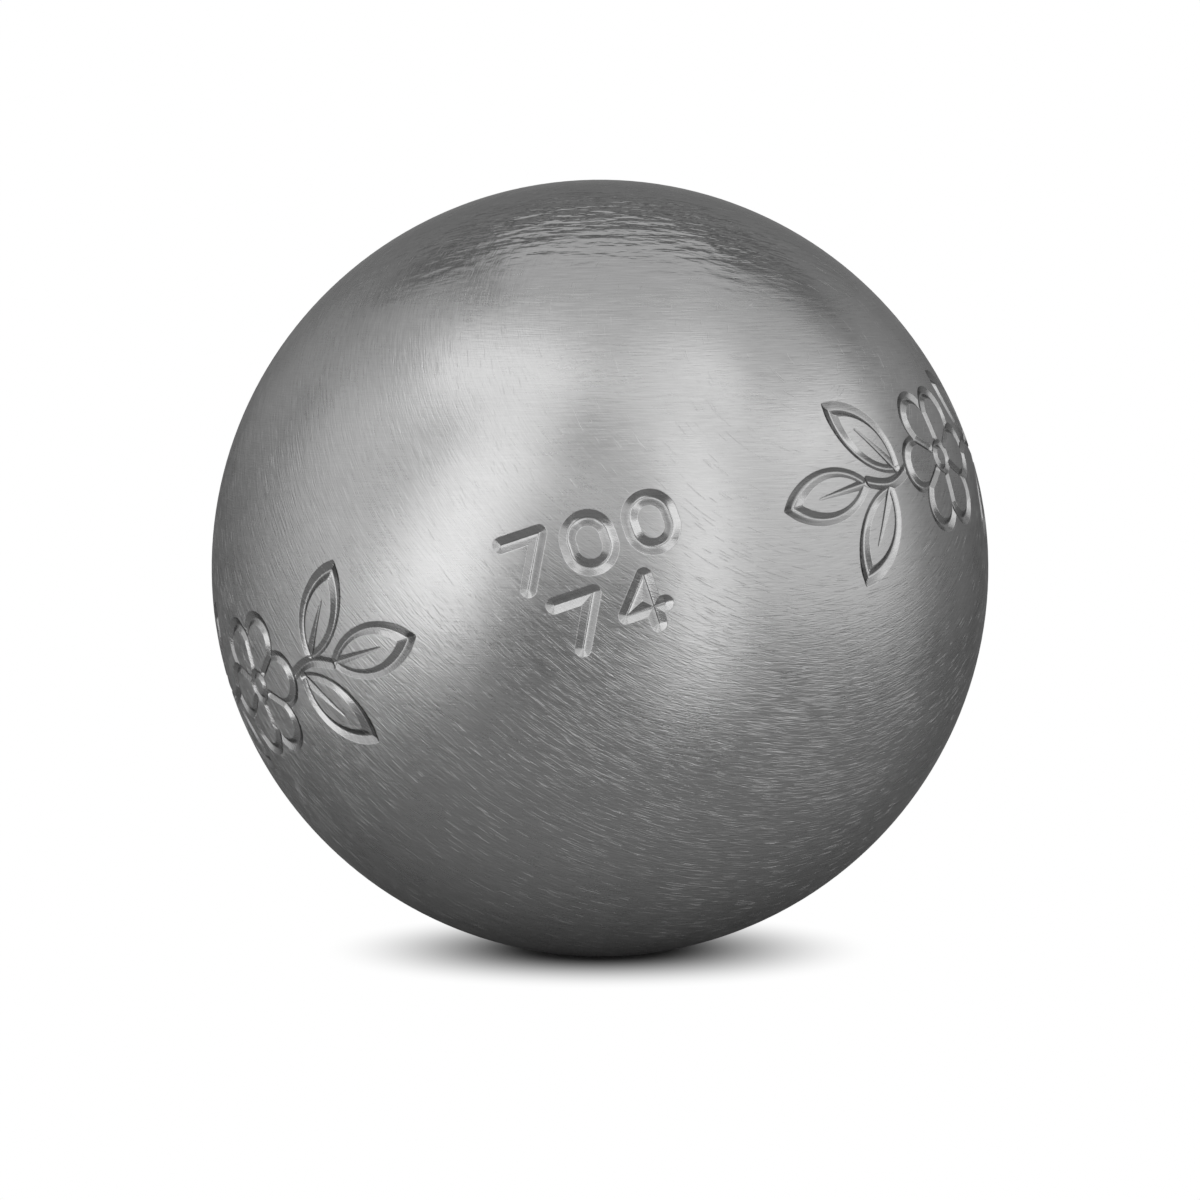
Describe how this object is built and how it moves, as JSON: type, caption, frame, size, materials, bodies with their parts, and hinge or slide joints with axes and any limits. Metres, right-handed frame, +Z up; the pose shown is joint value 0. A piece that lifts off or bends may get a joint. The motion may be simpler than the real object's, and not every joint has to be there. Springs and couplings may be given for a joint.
{
  "type": "petanque boule",
  "caption": "Hollow steel petanque boule: forged half shells centred on a register lip and joined by a flush welded seam, under a band of engraved leaves and flowers.",
  "frame": {"origin": "centre of the ball", "axes": "+Z up as the ball lies, -Y towards the viewer with the middle of the engraved band, +X to the viewer's right"},
  "size_m": [0.074, 0.074, 0.074],
  "materials": {
    "shell_steel": "satin, with fine grinding marks in circles",
    "weld_steel": "as welded, slightly dark, sealed inside the seam"
  },
  "bodies": {
    "root": {"upper_half_shell": "shell_steel", "lower_half_shell": "shell_steel", "weld_root_run": "weld_steel", "weld_fill_run": "weld_steel", "weld_cap_run": "shell_steel"}
  },
  "joints": []
}
